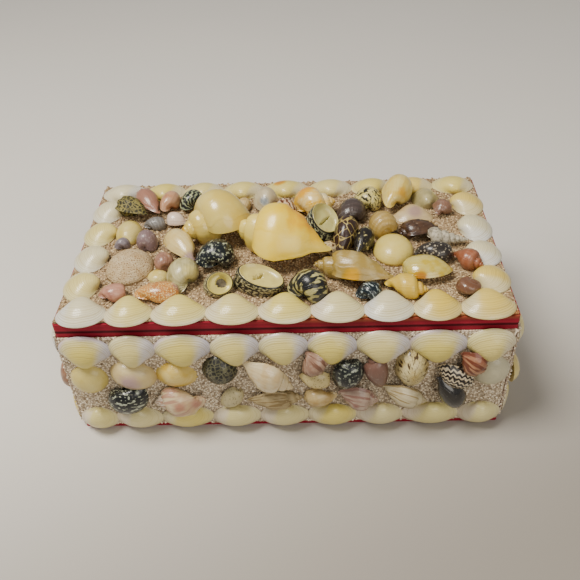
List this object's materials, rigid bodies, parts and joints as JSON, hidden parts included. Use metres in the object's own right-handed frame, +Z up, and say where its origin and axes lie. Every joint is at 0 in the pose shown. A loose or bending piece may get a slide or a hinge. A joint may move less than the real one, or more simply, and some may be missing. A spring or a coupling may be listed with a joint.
{
  "type": "shell box",
  "caption": "Rectangular box with a lift-off lid, its lid and walls covered with sea shells set in coarse sand and edged with rows of clams.",
  "frame": {"origin": "middle of the box's underside, on the surface that it stands on", "axes": "+X along the length, to the right as seen from the front; +Y from the front wall to the back wall; +Z up"},
  "size_m": [0.266, 0.1588, 0.114],
  "materials": {
    "red_paper": "crimson paper over board, satin, with faint streaks",
    "sand": "coarse beige grains with dark specks, glued",
    "pale_clam": "satin shell with fine growth rings, whiter towards its margin",
    "cream_shell": "polished cream shell",
    "orange_shell": "polished shell with warm orange patches",
    "dark_shell": "glossy black shell with pale bands and dots",
    "brown_shell": "satin ribbed shell",
    "grey_shell": "satin speckled shell",
    "sandy_shell": "rough and granular"
  },
  "bodies": {
    "root": {"box_body": "red_paper", "lid_board": "red_paper", "lid_sand_bed": "sand", "lid_front_clams": "pale_clam", "lid_back_clams": "pale_clam", "lid_left_clams": "pale_clam", "lid_right_clams": "pale_clam", "front_sand_bed": "sand", "front_upper_clams": "pale_clam", "front_lower_clams": "pale_clam", "back_sand_bed": "sand", "back_upper_clams": "pale_clam", "back_lower_clams": "pale_clam", "left_sand_bed": "sand", "left_upper_clams": "pale_clam", "left_lower_clams": "pale_clam", "right_sand_bed": "sand", "right_upper_clams": "pale_clam", "right_lower_clams": "pale_clam", "great_conch": "orange_shell", "spindle_whelk": "orange_shell", "amber_bubble": "orange_shell", "yellow_babylon": "orange_shell", "tall_egg_shell": "orange_shell", "orange_moon_snail": "orange_shell", "orange_cowrie": "orange_shell", "moon_snail_cream": "cream_shell", "cream_olive": "cream_shell", "ribbed_whorl": "cream_shell", "cream_dome": "cream_shell", "corded_snail": "cream_shell", "yellow_dome": "cream_shell", "mouth_up_nerite_large": "dark_shell", "mouth_up_nerite_small": "dark_shell", "striped_nerite": "dark_shell", "slit_nerite": "dark_shell", "round_black_nerite": "dark_shell", "small_black_nerite": "dark_shell", "dotted_nerite": "dark_shell", "capped_nerite": "dark_shell", "back_nerite": "dark_shell", "marbled_cone": "dark_shell", "black_zigzag_cone": "dark_shell", "knobby_drupe": "dark_shell", "rough_drupe": "dark_shell", "dark_ribbed_snail": "brown_shell", "orange_whelk": "brown_shell", "brown_moon_snail": "brown_shell", "rose_valve": "brown_shell", "rose_nassa": "brown_shell", "zigzag_nerite_small": "brown_shell", "rust_cone": "brown_shell", "rust_snail": "brown_shell", "mauve_snail": "brown_shell", "brown_nassa": "brown_shell", "pink_ribbed_snail": "brown_shell", "grey_cerith": "grey_shell", "blue_grey_nerite": "grey_shell", "sandy_dome": "sandy_shell", "green_clam": "pale_clam"}
  },
  "joints": []
}
